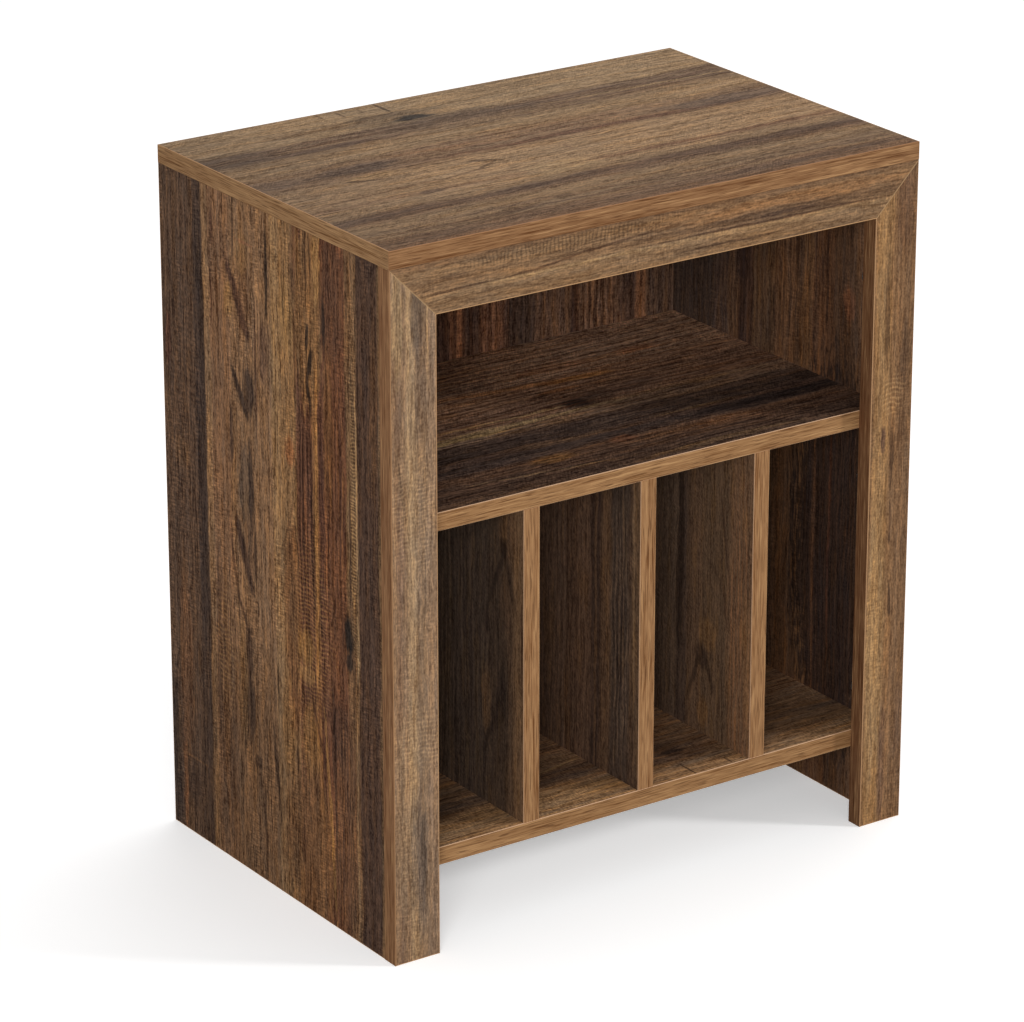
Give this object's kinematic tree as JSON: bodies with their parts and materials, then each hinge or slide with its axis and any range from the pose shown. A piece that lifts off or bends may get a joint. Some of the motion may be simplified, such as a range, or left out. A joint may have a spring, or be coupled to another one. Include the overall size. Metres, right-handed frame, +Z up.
{
  "type": "record storage stand",
  "caption": "Free-standing record stand in rustic wood-print board, with upright record bays under an open compartment and a mitred front frame.",
  "frame": {"origin": "on the floor, in the middle of the width and of the depth", "axes": "+X to the right as seen from the front, +Y to the rear, +Z up"},
  "size_m": [0.6, 0.4, 0.7],
  "materials": {
    "outer_board": "satin rustic wood-print laminate on particle board, weathered brown planks with saw marks",
    "inner_board": "satin rustic wood-print laminate on particle board, dark brown",
    "frame_board": "satin rustic wood-print laminate on particle board, greyish light brown",
    "oak_band": "satin edge band with a light oak print",
    "zinc_casting": "bare die-cast zinc",
    "plated_steel": "zinc-plated steel",
    "beech": "raw beech"
  },
  "bodies": {
    "root": {"top_panel": "outer_board", "left_side_panel": "outer_board", "right_side_panel": "outer_board", "back_panel": "inner_board", "middle_shelf": "inner_board", "bottom_shelf": "inner_board", "left_divider": "inner_board", "centre_divider": "inner_board", "right_divider": "inner_board", "left_stile": "frame_board", "right_stile": "frame_board", "head_rail": "frame_board", "top_front_band": "oak_band", "top_rear_band": "oak_band", "top_left_band": "oak_band", "top_right_band": "oak_band", "left_side_rear_band": "oak_band", "right_side_rear_band": "oak_band", "left_side_foot_band": "oak_band", "right_side_foot_band": "oak_band", "back_lower_band": "oak_band", "middle_shelf_band": "oak_band", "bottom_shelf_band": "oak_band", "left_divider_band": "oak_band", "centre_divider_band": "oak_band", "right_divider_band": "oak_band", "left_stile_outer_band": "oak_band", "left_stile_inner_band": "oak_band", "left_stile_foot_band": "oak_band", "right_stile_outer_band": "oak_band", "right_stile_inner_band": "oak_band", "right_stile_foot_band": "oak_band", "head_rail_band": "oak_band", "top_cam_housings": "zinc_casting", "stile_cam_housings": "zinc_casting", "shelf_cam_housings": "zinc_casting", "back_cam_housings": "zinc_casting", "top_cam_bolts": "plated_steel", "stile_cam_bolts": "plated_steel", "shelf_cam_bolts": "plated_steel", "back_cam_bolts": "plated_steel", "top_dowels": "beech", "stile_dowels": "beech", "shelf_dowels": "beech", "back_dowels": "beech", "divider_dowels": "beech", "mitre_splines": "beech", "divider_screws": "plated_steel", "back_screws": "plated_steel"}
  },
  "joints": []
}
